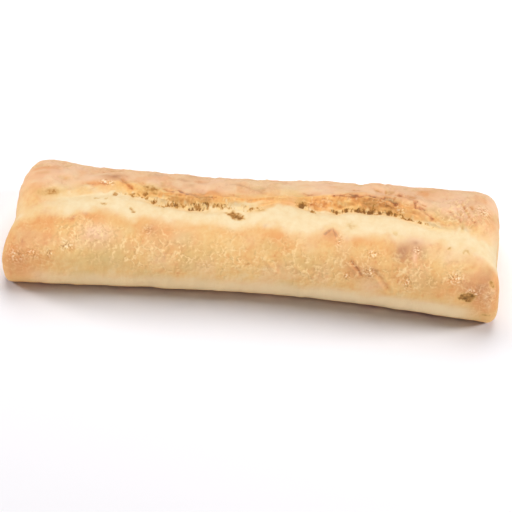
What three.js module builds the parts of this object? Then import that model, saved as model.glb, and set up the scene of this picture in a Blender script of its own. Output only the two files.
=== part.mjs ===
// A demi baguette: one solid loaf with a flat underside, square rounded ends and two soft lobes along its top.
// The slash between the lobes has opened into a smooth band, and behind the band a ragged torn face climbs from
// a crevice to the lip of the back lobe.
// Millimetres, +Z up, the length along X, the slash a little nearer the front (-Y), the underside on z = 0.

import * as THREE from "three";

const { clamp, lerp, smoothstep } = THREE.MathUtils;

// Overall size, which the finished loaf is brought to
const LENGTH = 260;
const WIDTH = 76;
const HEIGHT = 45;
const HALF_LENGTH = LENGTH / 2;

// Cross-section: a flat underside, a foot that tucks in below the widest level, and a squarish arch above it
const WAIST_HEIGHT = 10;
const FOOT_TUCK = 6;
const ARCH_POWER = 2.5;

// The two ends: their rounding, drawn in towards a level near the middle of the loaf, and the shape of the face
const HEART_HEIGHT = 16;
const ROUND_TOP = 13;
const ROUND_SIDE = 5;
const ROUND_BASE = 4;
const END_DOME = 3;
const END_DOME_REACH = 36;
const END_FLARE = 3.6; // how much further the front lobe runs than the back one
const LEAN_LEFT = 0.12; // how steeply the front lobe runs out towards the foot at each end
const LEAN_RIGHT = 0.04;
const LEAN_LEVEL = 18;
const LEAN_START = 20; // distance in front of the middle where the lean is full
const END_NOTCH = 1.5; // how far the slash is drawn in
const END_VALLEY = 1.2; // how far it sinks there
const END_VALLEY_REACH = 9;
const END_SHARE = 0.28; // part of each half of the loaf that takes on the shape of its end

// Reach and height of the two lobes along the loaf, as [place, millimetres].
// Places run from -1 at the left end to 1 at the right.
const FRONT_REACH = along([-1, 40], [-0.52, 35.7], [0, 31.9], [0.52, 32.8], [1, 38]);
const BACK_REACH = along([-1, 37], [-0.52, 33], [0, 33], [0.52, 35], [1, 36.5]);
const FRONT_HEIGHT = along([-1, 38.2], [-0.52, 37], [0, 38.6], [0.52, 41.6], [1, 42.4]);
const BACK_HEIGHT = along([-1, 38.8], [-0.52, 37.5], [0, 39.5], [0.52, 43], [1, 43.2]);

// The tear: where its crevice runs across the loaf, and how deep it is
const CREVICE_LINE = along(
  [-1, -10.5], [-0.86, -9], [-0.66, -1], [-0.54, 1.2], [-0.37, -2.8], [-0.22, -5.2], [-0.02, -3.5],
  [0.1, 3.7], [0.16, 2.9], [0.26, -1.8], [0.45, 1.8], [0.6, -1.8], [0.78, -10], [1, -13],
);
const CREVICE_DEPTH = along(
  [-1, 0.4], [-0.7, 0.8], [-0.36, 2.2], [-0.1, 1.8], [0.12, 0.6],
  [0.28, 2.2], [0.55, 2.4], [0.8, 0.6], [1, 0.4],
);
const CREVICE_REACH = 2.6;

// The torn face behind the crevice: how far back its lip lies, and how much it rises
const FACE_RUN = along(
  [-1, 7], [-0.78, 5], [-0.64, 8], [-0.5, 7], [-0.4, 5], [-0.23, 6], [-0.13, 7],
  [0, 5], [0.12, 2.5], [0.27, 9], [0.4, 6.2], [0.6, 5], [0.78, 4], [1, 7],
);
const FACE_RISE = along(
  [-1, 0], [-0.78, 0.2], [-0.64, 2], [-0.3, 3.2], [0, 2], [0.12, 0.8],
  [0.28, 3.4], [0.45, 4], [0.65, 3], [0.8, 0.4], [1, 0],
);
const FULLY_TORN_RISE = 2; // a face that rises this much is as ragged as any
const LIP_SHARE = 0.6; // part of the rise that stands above the back lobe's own arch
const LIP_FADE = 14; // distance over which the raised lip sinks back into the lobe

// Raggedness of the tear: its size along the loaf, and its height across the crevice, the lip and the face
const RAG_SIZE = 5.5;
const RAG_RISE_SHARE = 0.3;
const RAG_CREVICE = 1.2;
const RAG_LIP = 1.5;
const RAG_FACE = 1.3;
const CRAG_SIZE = 4;
const CRAG_LAYER = 9.5; // where the crags are read in the noise, so that they differ from the lumps
const RAG_DEPTH_SHARE = 0.7;

// Lumps of the crust, with their sizes across
const LUMPS = [
  { size: 23, height: 0.9 },
  { size: 10, height: 0.45 },
];
const SMOOTH_BELOW = 0.5; // the crust is smooth up to here, so the underside stays flat
const LUMPS_FULL = 7; // and from here the lumps have their full height

// Single dents (negative) and blisters (positive): centre, reach along each axis and height
const MARKS = [
  { at: [-109, -4, 38], reach: [5, 3.2, 4], height: -1.4 },
  { at: [-6, -8, 38], reach: [4.5, 2.6, 4], height: -2.4 },
  { at: [114, -37, 20], reach: [4, 4, 2.6], height: -1.6 },
  { at: [81, -25, 37], reach: [9, 7, 7], height: 0.9 },
  { at: [-79, 12, 39], reach: [8, 4, 5], height: 0.9 },
  { at: [-51, 20, 37], reach: [6, 6, 5], height: 0.8 },
  { at: [-22, 20, 38], reach: [7, 6, 5], height: 0.8 },
  { at: [66, 21, 42], reach: [7, 6, 5], height: 0.7 },
];

// Fineness of the skin: cross-sections along the loaf, steps round each of them and rings on each end
const BODY_SECTIONS = 96;
const ROUNDING_SECTIONS = 6;
const FOOT_STEPS = 3;
const FRONT_STEPS = 16;
const FACE_STEPS = 4;
const BACK_STEPS = 13;
const BASE_STEPS = 3;
const END_RINGS = [0.8, 0.55, 0.28];
const CROWD_FRONT = 1.5; // steps crowd towards the crevice from the front, and towards the lip from the back
const CROWD_BACK = 1.3;

// A smooth curve through [place, value] stations
function along(...stations) {
  const last = stations.length - 1;
  const slopes = stations.map((_, i) => {
    const [p0, v0] = stations[Math.max(i - 1, 0)];
    const [p1, v1] = stations[Math.min(i + 1, last)];
    return (v1 - v0) / (p1 - p0);
  });
  return (place) => {
    const p = clamp(place, stations[0][0], stations[last][0]);
    let i = 0;
    while (i < last - 1 && p >= stations[i + 1][0]) i += 1;
    const [p0, v0] = stations[i];
    const [p1, v1] = stations[i + 1];
    const span = p1 - p0;
    const t = (p - p0) / span;
    const leave = t * (1 - t) ** 2 * span * slopes[i];
    const arrive = t ** 2 * (1 - t) * span * slopes[i + 1];
    return lerp(v0, v1, smoothstep(t, 0, 1)) + leave - arrive;
  };
}

// A fixed value between -1 and 1 for each point of a lattice
function latticeValue(i, j, k) {
  const wave = Math.sin(i * 127.1 + j * 311.7 + k * 74.7) * 43758.5453;
  return 2 * (wave - Math.floor(wave)) - 1;
}

// Smooth noise between -1 and 1, from the eight lattice points round a place
function noise(x, y, z) {
  const [i, j, k] = [x, y, z].map(Math.floor);
  const [u, v, w] = [x - i, y - j, z - k].map((t) => smoothstep(t, 0, 1));
  const edge = (b, c) => lerp(latticeValue(i, j + b, k + c), latticeValue(i + 1, j + b, k + c), u);
  return lerp(lerp(edge(0, 0), edge(1, 0), v), lerp(edge(0, 1), edge(1, 1), v), w);
}

// Noise along the loaf alone, with a track number for each use
function noiseAlong(x, size, track) {
  return noise(x / size, 4 * track + 0.5, 0.5);
}

// A bell of height 1 round zero
function bell(distance, reach) {
  return Math.exp(-((distance / reach) ** 2));
}

// The arch over the waist. The angle runs from 0 at the front to PI at the back.
function archPoint(angle, front, back, height) {
  const across = Math.cos(angle);
  const reach = across > 0 ? -front : back;
  return {
    y: reach * Math.abs(across) ** (2 / ARCH_POWER),
    z: lerp(WAIST_HEIGHT, height, Math.abs(Math.sin(angle)) ** (2 / ARCH_POWER)),
  };
}

// The angle at which the arch stands over a given y
function archAngle(y, front, back) {
  const share = Math.min(Math.abs(y) / (y < 0 ? front : back), 1);
  const angle = Math.acos(share ** (ARCH_POWER / 2));
  return y < 0 ? angle : Math.PI - angle;
}

// One cross-section before the ends are shaped, from the front edge of the underside over the top
// to the back edge and along the underside
function section(x) {
  const place = x / HALF_LENGTH;
  const front = FRONT_REACH(place);
  const back = BACK_REACH(place);
  const frontHeight = FRONT_HEIGHT(place);
  const backHeight = BACK_HEIGHT(place);
  const rise = FACE_RISE(place) * (1 + RAG_RISE_SHARE * noiseAlong(x, RAG_SIZE, 1));
  const torn = smoothstep(rise, 0, FULLY_TORN_RISE);
  const depth = CREVICE_DEPTH(place) * (1 + RAG_DEPTH_SHARE * torn * noiseAlong(x, RAG_SIZE, 2));
  const creviceY = CREVICE_LINE(place) + RAG_CREVICE * torn * noiseAlong(x, RAG_SIZE, 3);
  const lipY = creviceY + FACE_RUN(place) + RAG_LIP * torn * noiseAlong(x, RAG_SIZE, 4);

  const frontLobe = (angle) => {
    const { y, z } = archPoint(angle, front, back, frontHeight);
    return { y, z: z - depth * bell(y - creviceY, CREVICE_REACH) };
  };
  const backLobe = (angle) => {
    const { y, z } = archPoint(angle, front, back, backHeight);
    return { y, z: z + LIP_SHARE * rise * Math.exp(-Math.max(y - lipY, 0) / LIP_FADE) };
  };
  const creviceAngle = archAngle(creviceY, front, back);
  const lipAngle = archAngle(lipY, front, back);
  const crevice = frontLobe(creviceAngle);
  const lip = backLobe(lipAngle);

  const points = [];
  const stretch = (steps, pointAt) => {
    for (let i = 0; i < steps; i += 1) points.push(pointAt(i / steps));
  };
  stretch(FOOT_STEPS, (t) => ({
    y: -front + FOOT_TUCK * (1 - Math.sin((t * Math.PI) / 2)),
    z: WAIST_HEIGHT * (1 - Math.cos((t * Math.PI) / 2)),
  }));
  stretch(FRONT_STEPS, (t) => frontLobe(creviceAngle * (1 - (1 - t) ** CROWD_FRONT)));
  stretch(FACE_STEPS, (t) => {
    const crag = torn * noise(x / CRAG_SIZE, FACE_STEPS * t + 0.5, CRAG_LAYER) * Math.sin(Math.PI * t);
    const z = lerp(crevice.z, lip.z, smoothstep(t, 0, 1)) + RAG_FACE * crag;
    return { y: lerp(crevice.y, lip.y, t), z };
  });
  stretch(BACK_STEPS, (t) => backLobe(lerp(lipAngle, Math.PI, t ** CROWD_BACK)));
  stretch(FOOT_STEPS, (t) => ({
    y: back - FOOT_TUCK * (1 - Math.cos((t * Math.PI) / 2)),
    z: WAIST_HEIGHT * (1 - Math.sin((t * Math.PI) / 2)),
  }));
  stretch(BASE_STEPS, (t) => ({ y: lerp(back - FOOT_TUCK, FOOT_TUCK - front, t), z: 0 }));
  return { points, front, back, height: Math.max(frontHeight, backHeight), creviceY };
}

// How far a rounding of a given radius has drawn the skin in at x
function drawnIn(x, radius) {
  const q = clamp((Math.abs(x) - HALF_LENGTH + END_DOME + radius) / radius, 0, 1);
  return radius * (1 - Math.sqrt(1 - q * q));
}

// How strongly the slash marks a place on an end
function slashNear(y, z, creviceY) {
  return bell(y - creviceY, END_VALLEY_REACH) * smoothstep(z, HEART_HEIGHT, 2 * HEART_HEIGHT);
}

// How far a place on an end stands out: a dome, flared and leaning at the front and notched at the slash
function endShift(side, y, z, creviceY) {
  const dome = END_DOME * (1 - (y / END_DOME_REACH) ** 2 - ((z - HEART_HEIGHT) / END_DOME_REACH) ** 2);
  const flare = END_FLARE * smoothstep(-y, END_DOME_REACH / 3, END_DOME_REACH);
  const steepness = (side < 0 ? LEAN_LEFT : LEAN_RIGHT) * smoothstep(-y, 0, LEAN_START);
  return dome + flare + steepness * (LEAN_LEVEL - z) - END_NOTCH * slashNear(y, z, creviceY);
}

// A cross-section with the rounding and the shape of the ends, and the relief of the crust
function ring(x) {
  const { points, front, back, height, creviceY } = section(x);
  const nearEnd = smoothstep(Math.abs(x) / HALF_LENGTH, 1 - END_SHARE, 1);
  return points.map(({ y, z }) => {
    const squeezeY = 1 - drawnIn(x, ROUND_SIDE) / (y < 0 ? front : back);
    const squeezeZ = z > HEART_HEIGHT
      ? 1 - drawnIn(x, ROUND_TOP) / (height - HEART_HEIGHT)
      : 1 - drawnIn(x, ROUND_BASE) / HEART_HEIGHT;
    const p = new THREE.Vector3(x, y * squeezeY, lerp(HEART_HEIGHT, z, squeezeZ));
    p.z -= END_VALLEY * nearEnd * slashNear(p.y, p.z, creviceY);
    p.x += Math.sign(x) * nearEnd * endShift(x, p.y, p.z, creviceY);
    return raiseCrust(p);
  });
}

// Moves a skin point outward from the loaf's long axis by the lumps and the single marks
function raiseCrust(p) {
  let height = 0;
  for (const lump of LUMPS) {
    height += lump.height * noise(p.x / lump.size, p.y / lump.size, p.z / lump.size);
  }
  height *= smoothstep(p.z, SMOOTH_BELOW, LUMPS_FULL);
  for (const mark of MARKS) {
    const away = mark.at.map((centre, axis) => (p.getComponent(axis) - centre) / mark.reach[axis]);
    height += mark.height * bell(Math.hypot(...away), 1);
  }
  const outward = new THREE.Vector3(0, p.y, p.z - HEART_HEIGHT).normalize();
  return p.addScaledVector(outward, height);
}

// Smaller copies of the outermost ring that close an end, and the point at its middle
function endFace(outerRing, side) {
  const { creviceY } = section(side * HALF_LENGTH);
  const facePoint = (y, z) => {
    const x = side * (HALF_LENGTH - END_DOME + endShift(side, y, z, creviceY));
    return new THREE.Vector3(x, y, z);
  };
  const rings = END_RINGS.map((share) => outerRing.map((p) => {
    return facePoint(share * p.y, lerp(HEART_HEIGHT, p.z, share));
  }));
  return { rings, tip: facePoint(0, HEART_HEIGHT) };
}

// A closed skin over a row of rings with equal numbers of points, with a tip at each end
function skin(rings, firstTip, lastTip) {
  const count = rings[0].length;
  const vertices = [...rings.flat(), firstTip, lastTip];
  const first = vertices.length - 2;
  const last = vertices.length - 1;
  const lastRing = (rings.length - 1) * count;
  const index = [];
  for (let j = 0; j < count; j += 1) {
    const next = (j + 1) % count;
    index.push(first, j, next);
    for (let i = 0; i + 1 < rings.length; i += 1) {
      const a = i * count + j;
      const b = i * count + next;
      index.push(a, a + count, b + count, a, b + count, b);
    }
    index.push(last, lastRing + next, lastRing + j);
  }
  const geometry = new THREE.BufferGeometry().setFromPoints(vertices);
  geometry.setIndex(index);
  return geometry;
}

// Brings a geometry to the overall size, centred over the origin and standing on z = 0
function bringToSize(geometry) {
  geometry.computeBoundingBox();
  const size = geometry.boundingBox.getSize(new THREE.Vector3());
  const centre = geometry.boundingBox.getCenter(new THREE.Vector3());
  geometry.translate(-centre.x, -centre.y, -geometry.boundingBox.min.z);
  geometry.scale(LENGTH / size.x, WIDTH / size.y, HEIGHT / size.z);
  geometry.computeVertexNormals();
  return geometry;
}

// Places of the cross-sections: even along the body and closer together round each end
function sectionPlaces() {
  const body = HALF_LENGTH - END_DOME - ROUND_TOP;
  const rounding = Array.from({ length: ROUNDING_SECTIONS }, (_, i) => {
    return body + ROUND_TOP * Math.sin((((i + 1) / ROUNDING_SECTIONS) * Math.PI) / 2);
  });
  const middle = Array.from({ length: BODY_SECTIONS + 1 }, (_, i) => lerp(-body, body, i / BODY_SECTIONS));
  return [...rounding.map((x) => -x).reverse(), ...middle, ...rounding];
}

function loafGeometry() {
  const rings = sectionPlaces().map(ring);
  const left = endFace(rings[0], -1);
  const right = endFace(rings[rings.length - 1], 1);
  return bringToSize(skin([...left.rings.reverse(), ...rings, ...right.rings], left.tip, right.tip));
}

const crust = new THREE.MeshStandardMaterial({ name: "crust", color: 0xe2b57c, roughness: 0.8, metalness: 0 });

const loaf = new THREE.Mesh(loafGeometry(), crust);
loaf.name = "loaf";

const demiBaguette = new THREE.Group();
demiBaguette.name = "demi_baguette";
demiBaguette.add(loaf);

export default demiBaguette;
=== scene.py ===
import math

import bpy
import numpy as np
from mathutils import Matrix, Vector


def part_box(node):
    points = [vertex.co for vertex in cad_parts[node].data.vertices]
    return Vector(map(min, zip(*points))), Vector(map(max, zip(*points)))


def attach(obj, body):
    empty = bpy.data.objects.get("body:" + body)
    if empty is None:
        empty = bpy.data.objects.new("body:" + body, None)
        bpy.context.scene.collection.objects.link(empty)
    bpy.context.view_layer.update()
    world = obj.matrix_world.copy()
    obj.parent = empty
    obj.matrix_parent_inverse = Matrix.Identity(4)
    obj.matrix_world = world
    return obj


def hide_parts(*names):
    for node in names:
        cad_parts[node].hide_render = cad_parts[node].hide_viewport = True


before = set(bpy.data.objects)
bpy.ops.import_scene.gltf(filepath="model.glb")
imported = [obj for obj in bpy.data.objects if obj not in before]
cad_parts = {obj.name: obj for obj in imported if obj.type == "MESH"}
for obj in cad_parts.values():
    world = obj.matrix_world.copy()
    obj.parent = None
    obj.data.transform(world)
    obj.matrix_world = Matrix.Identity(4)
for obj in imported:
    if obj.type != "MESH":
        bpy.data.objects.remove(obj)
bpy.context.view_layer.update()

# The loaf's form, in millimetres, from the same sizes as the solid it stands for

LENGTH = 260
HALF_LENGTH = LENGTH / 2
WAIST_HEIGHT = 10
FOOT_TUCK = 6
ARCH_POWER = 2.5
HEART_HEIGHT = 16
ROUND_TOP = 13
ROUND_SIDE = 5
ROUND_BASE = 4
END_DOME = 3
END_DOME_REACH = 36
END_FLARE = 3.6
LEAN_LEFT = 0.12
LEAN_RIGHT = 0.04
LEAN_LEVEL = 18
LEAN_START = 20
END_NOTCH = 1.5
END_VALLEY = 1.2
END_VALLEY_REACH = 9
END_SHARE = 0.28
CREVICE_REACH = 2.6
FULLY_TORN_RISE = 2
LIP_SHARE = 0.6
LIP_FADE = 14
RAG_SIZE = 5.5
RAG_CREVICE = 1.2
RAG_LIP = 1.5
RAG_FACE = 1.3
RAG_RISE_SHARE = 0.3
RAG_DEPTH_SHARE = 0.7
CRAG_SIZE = 4
CRAG_ROWS = 4
FRAY_SIZE = 2.3
FRAY_CREVICE = 0.6
FRAY_LIP = 0.7
LUMPS = [(0.9, 23, 0), (0.45, 10, 0)]
SMOOTH_BELOW = 0.5
LUMPS_FULL = 7
MARKS = [
    ((-109, -4, 38), (5, 3.2, 4), -1.4), ((81, -25, 37), (9, 7, 7), 0.9), ((-79, 12, 39), (8, 4, 5), 0.9),
    ((-51, 20, 37), (6, 6, 5), 0.8), ((-22, 20, 38), (7, 6, 5), 0.8), ((66, 21, 42), (7, 6, 5), 0.7),
]

# Lattice of the noise: turns and spread of its values, and steps from one track to the next
LATTICE_TURNS = (127.1, 311.7, 74.7)
LATTICE_SPREAD = 43758.5453
TRACK_STEP = 17
LINE_TRACK_STEP = 4

# The least length to divide by
TINY = 1e-9

# Fineness of the skin: sections along the loaf, steps round each section and rings on each end
BODY_SECTIONS = 520
ROUNDING_SECTIONS = 22
FOOT_STEPS = 9
FRONT_STEPS = 66
FACE_STEPS = 26
BACK_STEPS = 44
BASE_STEPS = 6
END_RINGS = 11
CROWD_FRONT = 1.5
CROWD_BACK = 1.3

# Bake map: the edge left free, the top of the sheet, and the discs of the two ends above it
MAP_EDGE = 0.01
SHEET_TOP = 0.7
DISC_PLACES = (0.25, 0.75)
DISC_LEVEL = 0.85
DISC_RADIUS = 0.13


def smooth(t):
    t = np.clip(t, 0, 1)
    return t * t * (3 - 2 * t)


def smoothstep(value, low, high):
    return smooth((value - low) / (high - low))


def lerp(a, b, t):
    return a + (b - a) * t


def bell(distance, reach):
    return np.exp(-((distance / reach) ** 2))


def along(*stations):
    """A smooth curve through (place, value) stations."""
    places, values = np.array(stations, float).T
    slopes = np.gradient(values)
    slopes[1:-1] = (values[2:] - values[:-2]) / (places[2:] - places[:-2])
    slopes[0] = (values[1] - values[0]) / (places[1] - places[0])
    slopes[-1] = (values[-1] - values[-2]) / (places[-1] - places[-2])

    def curve(place):
        p = np.clip(place, places[0], places[-1])
        i = np.clip(np.searchsorted(places, p, side="right") - 1, 0, len(places) - 2)
        span = places[i + 1] - places[i]
        t = (p - places[i]) / span
        leave = t * (1 - t) ** 2 * span * slopes[i]
        arrive = t**2 * (1 - t) * span * slopes[i + 1]
        return lerp(values[i], values[i + 1], smooth(t)) + leave - arrive

    return curve


FRONT_REACH = along((-1, 40), (-0.52, 35.7), (0, 31.9), (0.52, 32.8), (1, 38))
BACK_REACH = along((-1, 37), (-0.52, 33), (0, 33), (0.52, 35), (1, 36.5))
FRONT_HEIGHT = along((-1, 38.2), (-0.52, 37), (0, 38.6), (0.52, 41.6), (1, 42.4))
BACK_HEIGHT = along((-1, 38.8), (-0.52, 37.5), (0, 39.5), (0.52, 43), (1, 43.2))
CREVICE_LINE = along(
    (-1, -10.5), (-0.86, -9), (-0.66, -1), (-0.54, 1.2), (-0.37, -2.8), (-0.22, -5.2), (-0.02, -3.5),
    (0.1, 3.7), (0.16, 2.9), (0.26, -1.8), (0.45, 1.8), (0.6, -1.8), (0.78, -10), (1, -13),
)
CREVICE_DEPTH = along(
    (-1, 0.4), (-0.7, 0.8), (-0.36, 2.2), (-0.1, 1.8), (0.12, 0.6),
    (0.28, 2.2), (0.55, 2.4), (0.8, 0.6), (1, 0.4),
)
FACE_RUN = along(
    (-1, 7), (-0.78, 5), (-0.64, 8), (-0.5, 7), (-0.4, 5), (-0.23, 6), (-0.13, 7),
    (0, 5), (0.12, 2.5), (0.27, 9), (0.4, 6.2), (0.6, 5), (0.78, 4), (1, 7),
)
FACE_RISE = along(
    (-1, 0), (-0.78, 0.2), (-0.64, 2), (-0.3, 3.2), (0, 2), (0.12, 0.8),
    (0.28, 3.4), (0.45, 4), (0.65, 3), (0.8, 0.4), (1, 0),
)
BAND_FRONT = along(
    (-1, -22), (-0.925, -21), (-0.86, -17.9), (-0.77, -17.2), (-0.69, -14.1), (-0.645, -10.6),
    (-0.59, -10.8), (-0.54, -13.1), (-0.485, -15), (-0.44, -12.2), (-0.39, -11.8), (-0.337, -14.8),
    (-0.2, -14.4), (-0.05, -15), (0, -13.4), (0.1, -13.1), (0.15, -15.3), (0.2, -17.7), (0.25, -16),
    (0.31, -15), (0.39, -16.4), (0.53, -15.7), (0.63, -19), (0.72, -16.2), (0.82, -20), (0.915, -20.7),
    (1, -26),
)


def lattice_value(i, j, k):
    """A fixed value between -1 and 1 for each point of a lattice."""
    i_turn, j_turn, k_turn = LATTICE_TURNS
    wave = np.sin(i * i_turn + j * j_turn + k * k_turn) * LATTICE_SPREAD
    return 2 * (wave - np.floor(wave)) - 1


def noise(x, y, z):
    """Smooth noise between -1 and 1, from the eight lattice points round a place."""
    i, j, k = np.floor(x), np.floor(y), np.floor(z)
    u, v, w = smooth(x - i), smooth(y - j), smooth(z - k)

    def edge(b, c):
        return lerp(lattice_value(i, j + b, k + c), lattice_value(i + 1, j + b, k + c), u)

    return lerp(lerp(edge(0, 0), edge(1, 0), v), lerp(edge(0, 1), edge(1, 1), v), w)


def noise_at(skin, size, track):
    """Noise in space for lumps of a given size, with a track number for each use."""
    return noise(skin[..., 0] / size + TRACK_STEP * track, skin[..., 1] / size, skin[..., 2] / size)


def noise_along(x, size, track):
    """Noise along the loaf for waves of a given size, with a track number for each use."""
    return noise(x / size, LINE_TRACK_STEP * track + 0.5, 0.5)


def noise_on_sheet(u, v, track):
    """Noise on a flat sheet, with a track number for each use."""
    return noise(u, v, track + 0.5)


def layers(skin, kinds):
    """Sum of layers of noise in space, each with a height, a size and a track number."""
    return sum(height * noise_at(skin, size, track) for height, size, track in kinds)


def arch_point(angle, front, back, height):
    across = np.cos(angle)
    y = np.where(across > 0, -front, back) * np.abs(across) ** (2 / ARCH_POWER)
    z = lerp(WAIST_HEIGHT, height, np.abs(np.sin(angle)) ** (2 / ARCH_POWER))
    return y, z


def arch_angle(y, front, back):
    share = np.minimum(np.abs(y) / np.where(y < 0, front, back), 1)
    angle = np.arccos(share ** (ARCH_POWER / 2))
    return np.where(y < 0, angle, np.pi - angle)


def sections(x):
    """The cross-sections at each x: rows of y, z and the way up the torn face, and what the ends need."""
    place = x / HALF_LENGTH
    front, back = FRONT_REACH(place), BACK_REACH(place)
    front_height, back_height = FRONT_HEIGHT(place), BACK_HEIGHT(place)
    rise = FACE_RISE(place) * (1 + RAG_RISE_SHARE * noise_along(x, RAG_SIZE, 1))
    torn = smoothstep(rise, 0, FULLY_TORN_RISE)
    depth = CREVICE_DEPTH(place) * (1 + RAG_DEPTH_SHARE * torn * noise_along(x, RAG_SIZE, 2))
    crevice_y = CREVICE_LINE(place) + RAG_CREVICE * torn * noise_along(x, RAG_SIZE, 3)
    lip_y = crevice_y + FACE_RUN(place) + RAG_LIP * torn * noise_along(x, RAG_SIZE, 4)
    crevice_y = crevice_y + FRAY_CREVICE * torn * noise_along(x, FRAY_SIZE, 5)
    lip_y = lip_y + FRAY_LIP * torn * noise_along(x, FRAY_SIZE, 6)

    def front_lobe(angle):
        y, z = arch_point(angle, front, back, front_height)
        return y, z - depth * bell(y - crevice_y, CREVICE_REACH)

    def back_lobe(angle):
        y, z = arch_point(angle, front, back, back_height)
        return y, z + LIP_SHARE * rise * np.exp(-np.maximum(y - lip_y, 0) / LIP_FADE)

    crevice_angle = arch_angle(crevice_y, front, back)
    lip_angle = arch_angle(lip_y, front, back)
    crevice_z = front_lobe(crevice_angle)[1]
    lip_z = back_lobe(lip_angle)[1]

    def steps(count):
        return np.linspace(0, 1, count, endpoint=False)[:, None]

    def foot(turn, reach):
        return reach - FOOT_TUCK * (1 - np.cos(turn)), WAIST_HEIGHT * (1 - np.sin(turn))

    up, over = steps(FOOT_STEPS), steps(FRONT_STEPS)
    face, down, base = steps(FACE_STEPS), steps(BACK_STEPS), steps(BASE_STEPS)
    foot_y, foot_z = foot((1 - up) * np.pi / 2, front)
    crag_noise = noise_on_sheet(x / CRAG_SIZE, CRAG_ROWS * face + 0.5, 9)
    crag = RAG_FACE * torn * np.sin(np.pi * face) * crag_noise
    stretches = [
        (-foot_y, foot_z, 0),
        (*front_lobe(crevice_angle * (1 - (1 - over) ** CROWD_FRONT)), 0),
        (lerp(crevice_y, lip_y, face), lerp(crevice_z, lip_z, smooth(face)) + crag, face),
        (*back_lobe(lerp(lip_angle, np.pi, down**CROWD_BACK)), 1),
        (*foot(up * np.pi / 2, back), 1),
        (lerp(back - FOOT_TUCK, FOOT_TUCK - front, base), 0 * base, 1),
    ]

    def stacked(item):
        rows = [np.broadcast_to(s[item], np.broadcast_shapes(s[0].shape, x.shape)) for s in stretches]
        return np.concatenate(rows)

    at = dict(front=front, back=back, height=np.maximum(front_height, back_height))
    at.update(crevice_y=crevice_y, lip_y=lip_y, torn=torn)
    return stacked(0), stacked(1), stacked(2), at


def drawn_in(x, radius):
    q = np.clip((np.abs(x) - HALF_LENGTH + END_DOME + radius) / radius, 0, 1)
    return radius * (1 - np.sqrt(1 - q * q))


def slash_near(y, z, crevice_y):
    return bell(y - crevice_y, END_VALLEY_REACH) * smoothstep(z, HEART_HEIGHT, 2 * HEART_HEIGHT)


def end_shift(side, y, z, crevice_y):
    dome = END_DOME * (1 - (y / END_DOME_REACH) ** 2 - ((z - HEART_HEIGHT) / END_DOME_REACH) ** 2)
    flare = END_FLARE * smoothstep(-y, END_DOME_REACH / 3, END_DOME_REACH)
    steepness = np.where(side < 0, LEAN_LEFT, LEAN_RIGHT) * smoothstep(-y, 0, LEAN_START)
    return dome + flare + steepness * (LEAN_LEVEL - z) - END_NOTCH * slash_near(y, z, crevice_y)


def section_places():
    body = HALF_LENGTH - END_DOME - ROUND_TOP
    turns = np.arange(1, ROUNDING_SECTIONS + 1) / ROUNDING_SECTIONS * np.pi / 2
    rounding = body + ROUND_TOP * np.sin(turns)
    return np.concatenate([-rounding[::-1], np.linspace(-body, body, BODY_SECTIONS + 1), rounding])


def loaf_form():
    """Points of the skin, as rows round the loaf by sections along it, with the fields that paint it."""
    x = section_places()
    y, z, face, at = sections(x)
    near_end = smoothstep(np.abs(x) / HALF_LENGTH, 1 - END_SHARE, 1)
    y = y * (1 - drawn_in(x, ROUND_SIDE) / np.where(y < 0, at["front"], at["back"]))
    above = 1 - drawn_in(x, ROUND_TOP) / (at["height"] - HEART_HEIGHT)
    below = 1 - drawn_in(x, ROUND_BASE) / HEART_HEIGHT
    z = lerp(HEART_HEIGHT, z, np.where(z > HEART_HEIGHT, above, below))
    z = z - END_VALLEY * near_end * slash_near(y, z, at["crevice_y"])
    points = np.stack([x + np.sign(x) * near_end * end_shift(x, y, z, at["crevice_y"]), y, z], axis=-1)
    points = raise_crust(points)

    def end_face(ring, side, crevice_y):
        share = np.linspace(1, 0, END_RINGS + 1)[1:-1]
        ring_y = ring[:, None, 1] * share
        ring_z = lerp(HEART_HEIGHT, ring[:, None, 2], share)
        ring_x = side * (HALF_LENGTH - END_DOME + end_shift(side, ring_y, ring_z, crevice_y))
        return np.stack([ring_x, ring_y, ring_z], axis=-1)

    left = end_face(points[:, 0], -1, at["crevice_y"][0])[:, ::-1]
    right = end_face(points[:, -1], 1, at["crevice_y"][-1])
    rings = END_RINGS - 1
    fields = dict(face=face, crevice_y=at["crevice_y"], lip_y=at["lip_y"], torn=at["torn"])
    for name, field in fields.items():
        field = np.broadcast_to(field, y.shape)
        fields[name] = np.pad(field, ((0, 0), (rings, rings)), mode="edge")
    return np.concatenate([left, points, right], axis=1), fields


def spots(skin, places):
    """Sum of soft spots, each with a centre, a reach along each axis and a strength."""
    total = np.zeros(skin.shape[:-1])
    for centre, reach, strength in places:
        away = (skin - centre) / reach
        total = total + strength * np.exp(-(away**2).sum(axis=-1))
    return total


def raise_crust(skin):
    """Moves skin points outward from the loaf's long axis by the lumps and the single marks."""
    height = layers(skin, LUMPS) * smoothstep(skin[..., 2], SMOOTH_BELOW, LUMPS_FULL) + spots(skin, MARKS)
    outward = skin - (0, 0, HEART_HEIGHT)
    outward[..., 0] = 0
    outward /= np.linalg.norm(outward, axis=-1, keepdims=True)
    return skin + outward * height[..., None]


def skin_normals(skin):
    """Outward normals of the grid of skin points."""
    round_way = np.roll(skin, -1, axis=0) - np.roll(skin, 1, axis=0)
    long_way = np.gradient(skin, axis=1)
    normal = np.cross(long_way, round_way)
    return normal / np.maximum(np.linalg.norm(normal, axis=-1, keepdims=True), TINY)


def line_distance(skin, line):
    """Distance of each skin point from a line through several places, which are first moved onto the skin."""
    flat = skin.reshape(-1, 3)
    line = [flat[((flat - place) ** 2).sum(axis=-1).argmin()] for place in line]
    nearest = np.full(skin.shape[:-1], np.inf)
    for start, end in zip(line[:-1], line[1:]):
        way = end - start
        share = np.clip((skin - start) @ way / max(way @ way, TINY), 0, 1)
        nearest = np.minimum(nearest, np.linalg.norm(skin - start - share[..., None] * way, axis=-1))
    return nearest


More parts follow.
